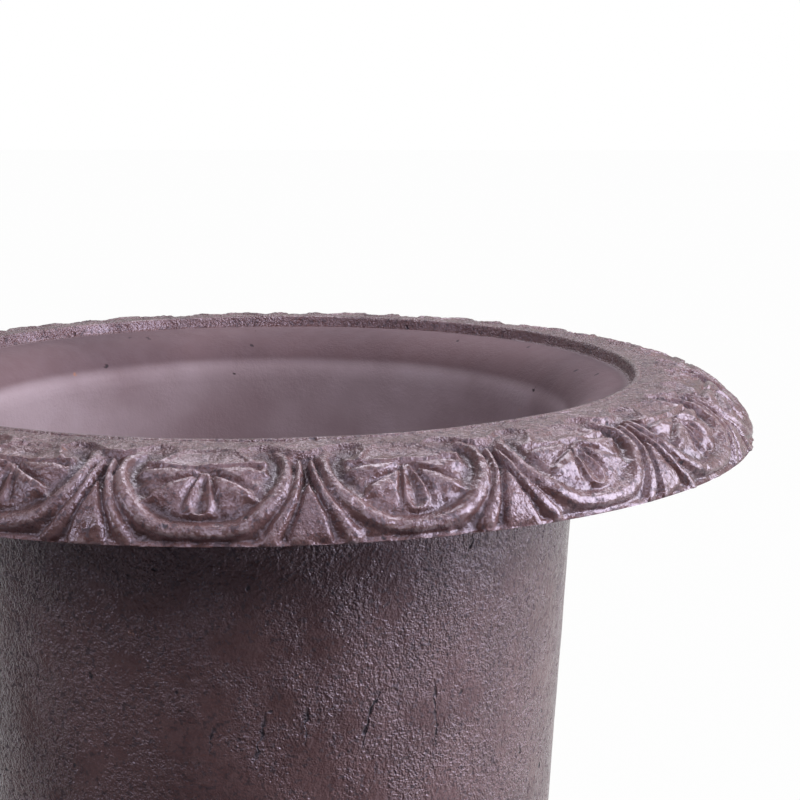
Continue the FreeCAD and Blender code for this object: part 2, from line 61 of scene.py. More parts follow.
RIM_LOW, RIM_HIGH = levels("rim")
BODY_LOW, BODY_HIGH = levels("body")
CUP_LOW, CUP_HIGH = levels("cup")
KNOP_LOW, KNOP_HIGH = levels("knop")
FOOT_LOW, FOOT_HIGH = levels("foot")
PLINTH_LOW, PLINTH_HIGH = levels("plinth")
RIM_RADIUS = reach("rim")
FLANGE_RADIUS = reach("body")
CUP_RADIUS = reach("cup")
KNOP_RADIUS = reach("knop")
FOOT_RADIUS = reach("foot")
PLINTH_HALF = reach("plinth")
ROD_HOLE_RADIUS = reach("tie_rod") + 0.5

# Rim: a narrow plain lip, then a flat and a swelling band cut with eggs and darts
MOUTH_RADIUS = 140.5
LIP_WIDTH = 3.5
LIP_FACE = 4.5
FLAT_WIDTH = 13.5
SWELL_WIDTH = RIM_RADIUS - MOUTH_RADIUS - FLAT_WIDTH
SWELL_DROP = 22.3
SWELL_POWER = 1.11
BAND_THICKNESS = 5.0
EGG_COUNT = 18
EGG_PITCH = 60.0
CARVED_ROWS = 100
COLUMNS_PER_EGG = 132
CARVED_TRIANGLES = 185_000

# Barrel, cup and stem
BORE_TOP = 113.5
BORE_BOTTOM = 104.0
BARREL_TOP = 119.5
BARREL_BOTTOM = 110.0
FLANGE = 5.0
INNER_FLANGE = 6.0
INNER_BORE = 86.0
NECK_RADIUS = 36.0
NECK_BORE = 28.0
GADROONS = 20
GADROON_DEPTH = 5.0
CUP_FLOOR = 10.0

# Plinth and drains
SLAB = 22.0
SLAB_SLOPE = 8.0
PLINTH_TOP_HALF = 92.0
PLINTH_WALL = 7.0
WEB = 9.0
WEEP_WIDTH = 24.0
WEEP_HEIGHT = 5.0
DRAIN_RADIUS = 4.0
DRAINS = 4
CUP_DRAIN_CIRCLE = 20.0

# Cracks in the skin of the barrel: sideways place, level, half length and lean
SCARS = [(-7.5, 323, 6, 0.15), (8.6, 324, 10, 0.2), (24, 327, 8, 0.1), (44.6, 328, 11, 0.3),
         (66, 325, 14, -0.02), (76.9, 381.5, 3.5, 0.4)]

# How far the pits in the skin are drawn out of round, in metres
PIT_WOBBLE = (0.005, 0.005, 0.005)

# Paint, dust and dirt on the castings; the stains, hollows and pits also hold painted shade, the bore dust
# painted light and the crests a painted highlight
DARK_PAINT = (0.088, 0.043, 0.044, 1)
LIGHT_PAINT = (0.13, 0.068, 0.071, 1)
THIN_PAINT = (0.15, 0.088, 0.093, 1)
# Pale wear on the crests of the carving, which is also a painted highlight
CREST_WEAR_AND_HIGHLIGHT = (0.3, 0.235, 0.265, 1)
# Darker past the mouth: stain and painted shade
DARK_STAIN_AND_SHADE = (0.066, 0.035, 0.037, 1)
LIGHT_STAIN_AND_SHADE = (0.1, 0.056, 0.06, 1)
# Lighter in the bore: dust and painted light on the inner wall
DARKER_DUST_AND_PAINTED_LIGHT = (0.17, 0.115, 0.128, 1)
LIGHTER_DUST_AND_PAINTED_LIGHT = (0.28, 0.215, 0.245, 1)
# Painted shade in the deep hollows of the carving
SHADE_IN_HOLLOWS = (0.055, 0.029, 0.029, 1)
DARK_SPECKLE = (0.03, 0.017, 0.017, 1)
# Painted shade in the pits and cracks of the skin
SHADE_IN_PITS = (0.016, 0.01, 0.01, 1)
RUST_ON_PAINT = (0.3, 0.11, 0.04, 1)
CAST_IRON_IOR = 1.7
CAST_IRON_SHEEN = (0.8, 0.72, 1, 1)

# Steel and rubber
DARK_STEEL = (0.05, 0.045, 0.042, 1)
LIGHT_STEEL = (0.12, 0.105, 0.095, 1)
RUST_ON_STEEL = (0.28, 0.1, 0.035, 1)
RUBBER = (0.016, 0.016, 0.016, 1)
DUSTY_RUBBER = (0.05, 0.047, 0.044, 1)

# Studio, in metres: softboxes by name, place, level of their aim on the axis, size and power
SOFTBOXES = [
    ("back_softbox", (0.2, 0.9, 1.7), 0.43, (1.5, 0.5), 15),
    ("front_softbox", (0, -0.6, 1.8), 0.43, (1.6, 0.4), 8),
    ("left_softbox", (-1.3, -0.4, 0.75), 0.4, (0.35, 0.8), 3.4),
    ("left_strip", (-1.15, -0.9, 1.2), 0.4, (0.2, 0.6), 4),
    ("right_softbox", (1.45, -0.1, 1.0), 0.35, (1.1, 1.3), 40),
    ("right_strip", (1.2, -1.0, 1.25), 0.4, (0.15, 0.6), 6),
    ("fill_softbox", (0.3, -1.8, 1.45), 0.35, (1.2, 0.6), 7),
]
BRIGHT_SIDE = (0.5, 0.87, 0)
DARK_UP_TO, BRIGHT_FROM = -0.45, 0.35
ROOM_LIGHT = 0.04
ROOM_IN_REFLECTIONS = (0.02, 0.5)
FLOOR_IN_REFLECTIONS = (0.0, 0.76)
FLOOR_SHARE_WHITE = 0.985
FLOOR_GREY = (0.15, 0.15, 0.15, 1)
FLOOR_SIZE = 30

# Camera: lens and sensor, swing round the axis from the front, distance from the axis, height over the rim,
# then how far it looks down and to the left, in millimetres and degrees
LENS, SENSOR = 76.16, 36.0
CAMERA_SWING = 5.98
CAMERA_DISTANCE = 642.4
CAMERA_HEIGHT = 102.7
LOOKS_DOWN = 10.351
LOOKS_LEFT = 1.33


def deselect_all():
    if bpy.context.object and bpy.context.object.mode != "OBJECT":
        bpy.ops.object.mode_set(mode="OBJECT")
    bpy.ops.object.select_all(action="DESELECT")


def make_active(piece):
    deselect_all()
    piece.select_set(True)
    bpy.context.view_layer.objects.active = piece


def modify(piece, kind, **settings):
    """Add one modifier with these settings and apply it."""
    make_active(piece)
    modifier = piece.modifiers.new(kind.lower(), kind)
    for name, setting in settings.items():
        setattr(modifier, name, setting)
    bpy.ops.object.modifier_apply(modifier=modifier.name)


def swell(start, end, rise, count):
    """The arc from start to end as points, without start, bulging by rise to the right of the way."""
    way = np.subtract(end, start)
    half = np.hypot(*way) / 2
    turn = 4 * math.atan(rise / half)
    left = np.array((-way[1], way[0])) / (2 * half)
    centre = np.add(start, end) / 2 + left * half / math.tan(turn / 2)
    arm = np.subtract(start, centre)
    points = []
    for angle in np.linspace(0, turn, count + 1)[1:]:
        cosine, sine = math.cos(angle), math.sin(angle)
        spoke = (arm[0] * cosine - arm[1] * sine, arm[0] * sine + arm[1] * cosine)
        points.append(tuple(centre + spoke))
    return points


def quarter_oval(start, end, count, upright=False):
    """A quarter oval as points, without start, that leaves start level or upright and turns the other way."""
    angles = np.linspace(0, math.pi / 2, count + 1)[1:]
    shares = [np.sin(angles), 1 - np.cos(angles)]
    across, up = reversed(shares) if upright else shares
    return list(zip(start[0] + (end[0] - start[0]) * across, start[1] + (end[1] - start[1]) * up))


def rounded(corners, pitch):
    """A closed outline with corners rounded by their third number and long straights divided."""
    softened = []
    for index, corner in enumerate(corners):
        place = np.array(corner[:2])
        if len(corner) == 2:
            softened.append(place)
            continue
        before = np.subtract(corners[index - 1][:2], place)
        after = np.subtract(corners[(index + 1) % len(corners)][:2], place)
        first = place + before / np.hypot(*before) * corner[2]
        last = place + after / np.hypot(*after) * corner[2]
        for share in np.linspace(0, 1, 5):
            softened.append((1 - share) ** 2 * first + 2 * share * (1 - share) * place + share ** 2 * last)
    divided = []
    for start, end in zip(softened, softened[1:] + softened[:1]):
        parts = max(1, round(np.hypot(*(end - start)) / pitch))
        divided += [tuple(start + (end - start) * part / parts) for part in range(parts)]
    return divided


def turned(name, outline, columns):
    """A ring turned from a closed outline of (radius, level), and the outline point of each vertex."""
    deselect_all()
    bpy.ops.mesh.primitive_plane_add(size=MM)
    piece = bpy.context.object
    piece.name = piece.data.name = name
    points = [Vector((radius * MM, 0, level * MM)) for radius, level in outline]
    bpy.ops.object.mode_set(mode="EDIT")
    bpy.ops.mesh.merge(type="CENTER")
    bpy.ops.transform.translate(value=points[0])
    for before, point in zip(points, points[1:]):
        bpy.ops.mesh.extrude_vertices_move(TRANSFORM_OT_translate={"value": point - before})
    bpy.ops.mesh.select_all(action="DESELECT")
    bpy.ops.object.mode_set(mode="OBJECT")
    places = piece.data.attributes.new("place", "INT", "POINT")
    places.data.foreach_set("value", range(len(points)))
    piece.data.vertices[0].select = True
    piece.data.vertices[len(points) - 1].select = True
    bpy.ops.object.mode_set(mode="EDIT")
    bpy.ops.mesh.edge_face_add()
    modify(piece, "SCREW", axis="Z", steps=columns, render_steps=columns, use_merge_vertices=True,
           merge_threshold=0.01 * MM)
    bpy.ops.object.mode_set(mode="EDIT")
    bpy.ops.mesh.select_all(action="SELECT")
    bpy.ops.mesh.normals_make_consistent(inside=False)
    bpy.ops.object.mode_set(mode="OBJECT")
    place = np.empty(len(piece.data.vertices), dtype=int)
    piece.data.attributes["place"].data.foreach_get("value", place)
    piece.data.attributes.remove(piece.data.attributes["place"])
    return piece, place


def vertices_of(piece):
    """The vertices in millimetres, one row each."""
    flat = np.empty(3 * len(piece.data.vertices))
    piece.data.vertices.foreach_get("co", flat)
    return flat.reshape(-1, 3) / MM


def move_vertices(piece, spots):
    piece.data.vertices.foreach_set("co", (spots * MM).ravel())
    piece.data.update()


def unevenness(spots, wave, depth):
    """A smooth random offset at each spot, in waves of that length and of up to about that depth."""
    return depth * np.array([noise.noise(Vector(spot) / wave) for spot in spots])


def cast_unevenly(piece, depth, seats):
    """Sink the surface unevenly along its normals, less and less towards a seat on another piece."""
    normals = np.empty(3 * len(piece.data.vertices))
    piece.data.vertices.foreach_get("normal", normals)
    spots = vertices_of(piece)
    offset = unevenness(spots, 9, 0.45 * depth) + unevenness(spots, 37, depth) - depth
    offset = np.minimum(offset, 0)
    for seat in seats:
        offset *= ramp(np.abs(spots[:, 2] - seat), 0.3, 12)
    move_vertices(piece, spots + normals.reshape(-1, 3) * offset[:, None])


def mark_inside(piece):
    """Note on each vertex how far inside the pot it is: half from the mouth on and one in the bore."""
    normals = np.empty(3 * len(piece.data.vertices))
    piece.data.vertices.foreach_get("normal", normals)
    normals = normals.reshape(-1, 3)
    spots = vertices_of(piece)
    radius = np.hypot(spots[:, 0], spots[:, 1])
    outward = (normals[:, 0] * spots[:, 0] + normals[:, 1] * spots[:, 1]) / radius
    past_mouth = ramp(-radius, 0.5 - MOUTH_RADIUS, 4 - MOUTH_RADIUS)
    in_bore = ramp(-radius, -4 - BORE_TOP, -0.6 - BORE_TOP)
    over_the_bore = (spots[:, 2] > RIM_LOW) | (radius < BORE_BOTTOM + 1)
    faces_in = (outward < -0.3) | ((normals[:, 2] > 0.3) & over_the_bore)
    inside = faces_in * (past_mouth + in_bore) / 2
    piece.data.attributes.new("inside", "FLOAT", "POINT").data.foreach_set("value", inside)


def cut_away(piece, cutter):
    modify(piece, "BOOLEAN", operation="DIFFERENCE", object=cutter, solver="EXACT")
    bpy.data.objects.remove(cutter)


def drill(piece, radius, circle, count, low, high):
    """Cut a ring of upright holes, or one hole on the axis."""
    for index in range(count):
        angle = 2 * math.pi * index / count
        place = Vector((circle * math.cos(angle), circle * math.sin(angle), (low + high) / 2))
        deselect_all()
        bpy.ops.mesh.primitive_cylinder_add(vertices=32, radius=radius * MM, depth=(high - low) * MM,
                                            location=place * MM)
        cut_away(piece, bpy.context.object)


def place_piece(piece, material, node, crease):
    """Shade and paint a casting and set it in the frame in place of its CAD node."""
    make_active(piece)
    bpy.ops.object.shade_smooth_by_angle(angle=math.radians(crease))
    piece.data.materials.clear()
    piece.data.materials.append(material)
    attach(piece, "root")
    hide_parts(node)


# The carving. u runs round the rim from the middle of an egg, v runs over the band from the mouth to the
# outer edge. A dart lies half way to the next egg. All lines are mirrored about the egg.
LIP_WAVE = [(0, 13), (4, 13.4), (8, 13.2), (11, 11.6), (15.5, 10), (19.5, 10.4), (23, 13), (27, 16.4),
            (30, 17.4), (34, 16.8)]
LEAF_TIP = [(9.6, 15.6), (11.6, 12.2), (15.6, 10.6), (19.6, 11.2), (22.6, 13.5), (26, 16.6), (30, 17.8),
            (34, 17)]
LEAF_FOOT = [(6, 14.6), (9, 16.8), (13.6, 23.5)]
CHORD = [(0, 24.9), (6, 25), (12, 24.6), (17.4, 24.2)]
EGG_EDGE = [(0, 46), (5.2, 45.1), (9.8, 42.5), (13, 39.4), (16.2, 33.8), (18, 29), (18.4, 25)]
CHANNEL = [(20.2, 19.5), (21.2, 23), (21.2, 26.8), (19.8, 32), (17, 37.5), (13.7, 41.7), (9.8, 44.7),
           (5, 46.7), (0, 47.4)]
ROLL = [(22, 17), (24, 21.5), (24.2, 27.5), (23.1, 33.3), (21, 38.3), (18.2, 42.6), (15, 46.2),
        (11.2, 48.7), (6.6, 50.1), (0, 50.6)]
UNDERCUT = [(25.6, 37), (23.2, 42), (19.6, 46.7), (15.2, 50.6), (9.4, 53.2), (4, 54), (0, 54.1)]
RIB = [(28.2, 24.5), (27.6, 31), (26, 38), (23.2, 45), (18.6, 54)]
BLADE_GROOVE = [(29.8, 29), (28.8, 35), (27.2, 41.5), (25, 48), (22.9, 54.5)]
PETAL_GROOVE = [(0.8, 28.2), (5, 30.6), (9.4, 32.8), (14.8, 35.6)]
TONGUE_GROOVE = [(1.8, 30.6), (3.6, 35.8), (4.7, 40.5), (4.8, 43.8)]
TONGUE_EDGE = [(0.6, 28.6), (1.7, 32.8), (2.8, 38), (3, 42), (2, 44.6), (0, 45.6)]
TONGUE_HOLLOW = [(0, 32.4), (0, 37), (0, 43.2)]
BOTTOM_EDGE = [(0, 54.6), (34, 54.6)]
FARTHEST = 12.0

# Waves of the lumpy skin of the carving: length and depth
LUMPS = [(1.8, 0.25), (3.5, 0.35), (8, 0.4)]


def curve_through(points, steps=8):
    """A smooth line through the points, as many short straights."""
    known = np.array(points, float)
    ends = np.vstack([2 * known[0] - known[1], known, 2 * known[-1] - known[-2]])
    share = np.linspace(0, 1, steps, endpoint=False)[:, None]
    line = []
    for a, b, c, d in zip(ends, ends[1:], ends[2:], ends[3:]):
        cubic = 3 * (b - c) + d - a
        line.append(b + 0.5 * share * (c - a + share * (2 * a - 5 * b + 4 * c - d + share * cubic)))
    return np.vstack(line + [known[-1:]])


def distance_to(points, u, v):
    """How far each place is from the line through the points, up to the farthest that matters."""
    line = curve_through(points)
    nearest = np.full(u.shape, FARTHEST)
    low, high = line.min(axis=0) - FARTHEST, line.max(axis=0) + FARTHEST
    near = np.nonzero((u > low[0]) & (u < high[0]) & (v > low[1]) & (v < high[1]))
    u, v, found = u[near], v[near], nearest[near]
    for start, end in zip(line, line[1:]):
        way = end - start
        share = np.clip(((u - start[0]) * way[0] + (v - start[1]) * way[1]) / (way @ way), 0, 1)
        found = np.minimum(found, np.hypot(u - start[0] - share * way[0], v - start[1] - share * way[1]))
    nearest[near] = found
    return nearest


def ramp(x, low, high):
    share = np.clip((x - low) / (high - low), 0, 1)
    return share * share * (3 - 2 * share)


def hump(x):
    """One at nought, falling smoothly to nought at one."""
    return 0.5 + 0.5 * np.cos(np.pi * np.clip(x, 0, 1))


def ridge(depth, points, u, v, half_width, level, crown=0.0):
    """Raise the surface to a level along a line, with a crown of that share of the width."""
    off_crown = (distance_to(points, u, v) / half_width - crown) / (1 - crown)
    return depth + np.maximum(level - depth, 0) * hump(off_crown)


def groove(depth, points, u, v, half_width, level):
    """Sink the surface to a level along a line."""
    return depth + np.minimum(level - depth, 0) * hump(distance_to(points, u, v) / half_width)


def petal(u, v, root, tip, half_width, height):
    """A soft leaf-shaped swelling from root to tip."""
    way = np.subtract(tip, root)
    length = np.hypot(*way)
    along = ((u - root[0]) * way[0] + (v - root[1]) * way[1]) / length ** 2
    across = ((v - root[1]) * way[0] - (u - root[0]) * way[1]) / length
    width = half_width * np.sin(np.pi * np.clip(along, 0.001, 0.999) ** 0.7)
    return height * hump(np.abs(across) / width) * hump(2 * np.abs(along - 0.5) - 0.5)


def carve_egg(depth, u, v, past_lip):
    """The egg, the channel round it, the roll round that and the shell on it."""
    line = curve_through(EGG_EDGE)
    off_edge = distance_to(EGG_EDGE, u, v)
    inside = (u < np.interp(-v, -line[:, 1], line[:, 0])) & (v < EGG_EDGE[0][1])
    within = np.where(inside, off_edge, -off_edge)
    within = np.where(v < EGG_EDGE[-1][1], np.minimum(within, EGG_EDGE[-1][0] - u), within)
    share = ramp(within, -0.8, 0.8) * ramp(past_lip, 1, 4)
    depth = depth * (1 - share) + (-1.7 + 0.6 * ramp(within, -0.6, 6)) * share
    lower = ramp(v, 26, 44)
    depth = groove(depth, CHANNEL, u, v, half_width=3.4 - 1.4 * lower, level=-3.3 + 1.3 * lower)
    crest = -0.95 + 0.8 * ramp(v, 18, 27) + 0.15 * ramp(v, 38, 50)
    depth = ridge(depth, ROLL, u, v, half_width=2.9 + 1.3 * lower, level=crest, crown=0.15)
    depth = groove(depth, UNDERCUT, u, v, half_width=1.7, level=-2.0)
    depth = depth + petal(u, v, root=(0.5, 27.8), tip=(20, 29.8), half_width=5.8, height=1.3)
    depth = depth + petal(u, v, root=(1, 30.6), tip=(16.5, 40.6), half_width=5.6, height=1.2)
    depth = groove(depth, PETAL_GROOVE, u, v, half_width=1.6, level=-2.1)
    depth = groove(depth, TONGUE_GROOVE, u, v, half_width=1.4, level=-1.9)
    depth = ridge(depth, TONGUE_EDGE, u, v, half_width=1.3, level=-0.6)
    return groove(depth, TONGUE_HOLLOW, u, v, half_width=2.1, level=-2.1)


def carve_dart(depth, u, v):
    """A hollow above a flat blade, with a broad rib at each side."""
    from_middle = EGG_PITCH / 2 - u
    hollow = ramp(6 - from_middle - 0.3 * np.abs(v - 26), 0, 3.5) * ramp(v, 17.5, 21)
    depth = depth - 1.6 * hollow
    depth = ridge(depth, RIB, u, v, half_width=1.8 + 1.6 * ramp(v, 34, 54), level=-0.35, crown=0.2)
    depth = groove(depth, BLADE_GROOVE, u, v, half_width=1.6, level=-2.4)
    blade = np.interp(v, [32.5, 37, 45, 54], [0, 1.2, 3.4, 5.6]) - from_middle
    return depth + np.maximum(-0.6 - depth, 0) * ramp(blade, -0.9, 0.8) * ramp(v, 32, 34)


def carve_leaves(depth, u, v, past_lip):
    """The straight edge above the egg and the leaf tips between it and the lip."""
    line = curve_through(CHORD)
    below = v - np.interp(u, line[:, 0], line[:, 1])
    strip = ramp(-below, -0.3, 0.5) * ramp(18 - u, 0, 2) * ramp(past_lip, 0.5, 3.5)
    depth = depth + np.maximum(-1.9 - depth, 0) * strip
    depth = depth - 0.9 * hump(np.hypot(u / 9, (v - 20.5) / 4.5))
    depth = ridge(depth, CHORD, u, v, half_width=1.5, level=-0.6)
    depth = depth - 1.2 * hump(np.abs(below - 1.6) / 1.7) * ramp(17.5 - u, 0, 2)
    depth = ridge(depth, LEAF_FOOT, u, v, half_width=1.9, level=-0.2)
    depth = ridge(depth, LEAF_TIP, u, v, half_width=1.9, level=0)
    return depth - 1.2 * hump(np.hypot((u - 15.6) / 5, (v - 17.5) / 5))


def carving(u, v):
    """Depth of the egg and dart carving below the smooth band, negative inwards."""
    u = np.abs(u)
    line = curve_through(LIP_WAVE)
    past_lip = v - np.interp(u, line[:, 0], line[:, 1])
    lip = -0.4 - 0.3 * ramp(v, 8, 11)
    depth = lip - 1.2 * ramp(past_lip, 0, 3) - 0.4 * ramp(past_lip, 4, 11)
    depth = carve_egg(depth, u, v, past_lip)
    depth = carve_dart(depth, u, v)
    depth = carve_leaves(depth, u, v, past_lip)
    return ridge(depth, BOTTOM_EDGE, u, v, half_width=1.4, level=-1.1)


def band_outline():
    """Radius, level and distance from the mouth along the band before it is carved."""
    angle = np.linspace(0, math.pi / 2, 400)
    radius = MOUTH_RADIUS + FLAT_WIDTH + SWELL_WIDTH * np.sin(angle) ** SWELL_POWER
    level = RIM_HIGH - SWELL_DROP * (1 - np.cos(angle).clip(0) ** SWELL_POWER)
    radius = np.concatenate([[MOUTH_RADIUS], radius])
    level = np.concatenate([[RIM_HIGH], level])
    return radius, level, np.concatenate([[0], np.cumsum(np.hypot(np.diff(radius), np.diff(level)))])


def carved_depth(spots, rows, row):
    """How deep the carving is at these spots of the band, with the hand of the pattern maker in it."""
    eggs_round = (np.arctan2(spots[:, 1], spots[:, 0]) + math.pi / 2) / (2 * math.pi) * EGG_COUNT
    u = (eggs_round - np.round(eggs_round)) * EGG_PITCH + unevenness(spots, 19, 0.9)
    v = rows[row]
    v = v + unevenness(spots + 500, 19, 0.9) * ramp(v, 9, 14) * ramp(rows[-1] - v, 0, 6)
    depth = carving(u, v) * (1 + unevenness(spots, 43, 0.25))
    lumps = sum(unevenness(spots, wave, height) for wave, height in LUMPS)
    ragged = unevenness(spots, 5, 1.2) * ramp(v, rows[-1] - 3, rows[-1])
    return np.minimum(depth + lumps + ragged - 0.2, -0.05)


def make_rim_carving(material):
    """The band of eggs and darts, cut finely and then thinned out where it is smooth."""
    radius, level, length = band_outline()
    rows = np.linspace(LIP_WIDTH - 1.5, length[-1] - 0.1, CARVED_ROWS)
    radius, level = np.interp(rows, length, radius), np.interp(rows, length, level)
    slope = np.gradient(radius, rows), np.gradient(level, rows)
    out_r, out_z = -slope[1] / np.hypot(*slope), slope[0] / np.hypot(*slope)
    edge = RIM_HIGH - SWELL_DROP
    back = list(zip(radius - BAND_THICKNESS * out_r, level - BAND_THICKNESS * out_z))[-8::-12]
    bottom = [(RIM_RADIUS - 0.8, edge), (RIM_RADIUS - BAND_THICKNESS, edge)]
    outline = list(zip(radius, level)) + bottom + back
    piece, place = turned("rim_carving", outline, EGG_COUNT * COLUMNS_PER_EGG)
    spots = vertices_of(piece)
    front = np.nonzero(place < len(rows))[0]
    row = place[front]
    depth = carved_depth(spots[front], rows, row)
    spots[front, :2] *= (1 + out_r[row] * depth / radius[row])[:, None]
    spots[front, 2] += out_z[row] * depth
    move_vertices(piece, spots)
    for name, measure in (("carved_depth", depth), ("carved", ramp(rows[row], 12, 26))):
        known = np.zeros(len(spots))
        known[front] = measure
        piece.data.attributes.new(name, "FLOAT", "POINT").data.foreach_set("value", known)
    modify(piece, "DECIMATE", ratio=CARVED_TRIANGLES / (2 * len(spots)))
    place_piece(piece, material, "rim", 75)


def make_rim(material):
    """The lip, the bell mouth and the flange, which carry the carved band."""
    lip_low = RIM_HIGH - LIP_FACE
    edge = RIM_HIGH - SWELL_DROP
    lip_edge = MOUTH_RADIUS + LIP_WIDTH - 0.6
    flange_top = (BORE_TOP + 7, RIM_LOW + FLANGE)
    swelling = (MOUTH_RADIUS + FLAT_WIDTH, RIM_HIGH - 7)
    bell = (MOUTH_RADIUS - 1.2, lip_low)
    throat = (BORE_TOP, RIM_LOW + 0.5)
    outline = rounded([
        (BORE_TOP, RIM_LOW), (FLANGE_RADIUS, RIM_LOW, 0.8), (FLANGE_RADIUS, RIM_LOW + FLANGE, 0.8),
        flange_top, *swell(flange_top, (MOUTH_RADIUS - 1, lip_low - 7), -3, 6),
        swelling, *swell(swelling, (RIM_RADIUS - 7, edge), -3.5, 8),
        (RIM_RADIUS - 4, edge + 0.6), (RIM_RADIUS - 6, edge + 6), (lip_edge + 12, RIM_HIGH - 5),
        (lip_edge + 0.3, RIM_HIGH - 1.8), (lip_edge, RIM_HIGH, 1.2), (MOUTH_RADIUS, RIM_HIGH, 1.5),
        (*bell, 0.7), *quarter_oval(throat, bell, 12, True)[-2::-1], throat,
    ], 2.5)
    piece, _ = turned("rim_mouth", outline, 360)
    cast_unevenly(piece, 0.2, [RIM_LOW])
    mark_inside(piece)
    place_piece(piece, material, "rim", 45)


def make_body(material):
    bead_low, bead_high = (BARREL_BOTTOM, BODY_LOW), (BARREL_BOTTOM, BODY_LOW + 9)
    outline = rounded([
        (INNER_BORE, BODY_LOW, 0.8), (*bead_low, 0.6), *swell(bead_low, bead_high, 4, 10),
        (BARREL_TOP, BODY_HIGH - FLANGE - 1.5), (BARREL_TOP + 1.5, BODY_HIGH - FLANGE),
        (FLANGE_RADIUS, BODY_HIGH - FLANGE, 0.8), (FLANGE_RADIUS, BODY_HIGH, 0.8),
        (BORE_TOP, BODY_HIGH), (BORE_BOTTOM, BODY_LOW + INNER_FLANGE, 2),
        (INNER_BORE, BODY_LOW + INNER_FLANGE, 0.8),
    ], 3)
    piece, _ = turned("barrel", outline, 360)
    cast_unevenly(piece, 0.2, [BODY_LOW, BODY_HIGH])
    mark_inside(piece)
    place_piece(piece, material, "body", 45)


def cut_gadroons(piece, neck_top, widest):
    """Sink the furrows between the lobes outside the cup, deepest where it is widest."""
    spots = vertices_of(piece)
    radius = np.hypot(spots[:, 0], spots[:, 1])
    on_shoulder = spots[:, 2] > widest[1]
    shoulder_share = (radius - BARREL_BOTTOM) / (CUP_RADIUS - BARREL_BOTTOM)
    bowl_share = (radius - NECK_RADIUS) / (CUP_RADIUS - NECK_RADIUS)
    share = np.where(on_shoulder, shoulder_share, bowl_share).clip(0)
    below = ((widest[1] - spots[:, 2]) / (widest[1] - neck_top[1])).clip(0, 1)
    skin = NECK_RADIUS + (CUP_RADIUS - NECK_RADIUS) * np.sqrt(1 - below ** 2)
    outside = np.where(on_shoulder, radius > BARREL_BOTTOM, radius > skin - 1)
    lobe = np.arctan2(spots[:, 1], spots[:, 0]) / (2 * math.pi) * GADROONS
    off_crest = 2 * np.abs(lobe - np.round(lobe))
    cut = np.where(outside, GADROON_DEPTH * share * off_crest ** 2, 0)
    spots[:, :2] *= (1 - cut / radius)[:, None]
    move_vertices(piece, spots)


def make_cup(material):
    neck_top, widest = (NECK_RADIUS, CUP_LOW + 5), (CUP_RADIUS, CUP_HIGH - 18)
    shoulder = quarter_oval((BARREL_BOTTOM, CUP_HIGH), widest, 8)[-2::-1]
    inner, floor, roof = CUP_RADIUS - GADROON_DEPTH - 7, CUP_LOW + CUP_FLOOR, CUP_HIGH - INNER_FLANGE
    inside = quarter_oval((NECK_RADIUS, floor), (inner, widest[1]), 16)[::-1]
    outline = rounded([
        (ROD_HOLE_RADIUS, CUP_LOW, 0.4), (NECK_RADIUS, CUP_LOW, 0.4), neck_top,
        *quarter_oval(neck_top, widest, 24), *shoulder, (BARREL_BOTTOM, CUP_HIGH, 0.4),
        (INNER_BORE, CUP_HIGH, 0.8), (INNER_BORE, roof, 0.8), (inner, roof, 1), *inside,
        (NECK_RADIUS, floor), (ROD_HOLE_RADIUS, floor, 0.4),
    ], 4)
    piece, _ = turned("gadrooned_cup", outline, GADROONS * 18)
    cut_gadroons(piece, neck_top, widest)
    cast_unevenly(piece, 0.15, [CUP_LOW, CUP_HIGH])
    mark_inside(piece)
    drill(piece, DRAIN_RADIUS, CUP_DRAIN_CIRCLE, DRAINS, CUP_LOW - 1, floor + 1)
    place_piece(piece, material, "cup", 35)


def make_knop(material):
    collar_low, collar_high = (NECK_RADIUS, KNOP_LOW + 3), (NECK_RADIUS, KNOP_HIGH - 3)
    outline = rounded([
        (NECK_BORE, KNOP_LOW, 0.5), (NECK_RADIUS, KNOP_LOW, 0.5), collar_low,
        *swell(collar_low, collar_high, KNOP_RADIUS - NECK_RADIUS, 18),
        (NECK_RADIUS, KNOP_HIGH, 0.5), (NECK_BORE, KNOP_HIGH, 0.5),
    ], 2)
    piece, _ = turned("stem_knop", outline, 144)
    cast_unevenly(piece, 0.12, [KNOP_LOW, KNOP_HIGH])
    place_piece(piece, material, "knop", 35)


def make_foot(material):
    ring, torus_top, neck_foot = FOOT_RADIUS - 4, FOOT_LOW + 14, FOOT_HIGH - 9
    ledge = ring - 9
    outline = rounded([
        (ledge - 6, FOOT_LOW, 0.8), (ring, FOOT_LOW, 0.4), *swell((ring, FOOT_LOW), (ring, torus_top), 4, 12),
        (ledge, torus_top, 0.5), (ledge, torus_top + 3, 0.8),
        *swell((ledge, torus_top + 3), (NECK_RADIUS, neck_foot), -10.5, 22),
        (NECK_RADIUS, FOOT_HIGH, 0.5), (NECK_BORE, FOOT_HIGH, 0.5), (NECK_BORE, neck_foot),
        *swell((NECK_BORE, neck_foot), (ledge - 6, torus_top), 10.5, 16),
    ], 2.5)
    piece, _ = turned("round_foot", outline, 216)
    cast_unevenly(piece, 0.15, [FOOT_LOW, FOOT_HIGH])
    place_piece(piece, material, "foot", 35)


def make_square(piece, corner):
    """Draw the rings of a turned piece out to squares with slightly rounded corners."""
    spots = vertices_of(piece)
    half = np.hypot(spots[:, 0], spots[:, 1])
    quarter = np.arctan2(spots[:, 1], spots[:, 0]) / (math.pi / 2)
    side = np.round(quarter)
    along = half * 2 * (quarter - side)
    straight = half - corner
    beyond = (np.abs(along) - straight).clip(0)
    pull = corner / np.hypot(corner, beyond)
    across = straight + corner * pull
    along = np.sign(along) * (np.minimum(np.abs(along), straight) + beyond * pull)
    cosine, sine = np.cos(side * math.pi / 2), np.sin(side * math.pi / 2)
    spots[:, 0], spots[:, 1] = across * cosine - along * sine, across * sine + along * cosine
    move_vertices(piece, spots)


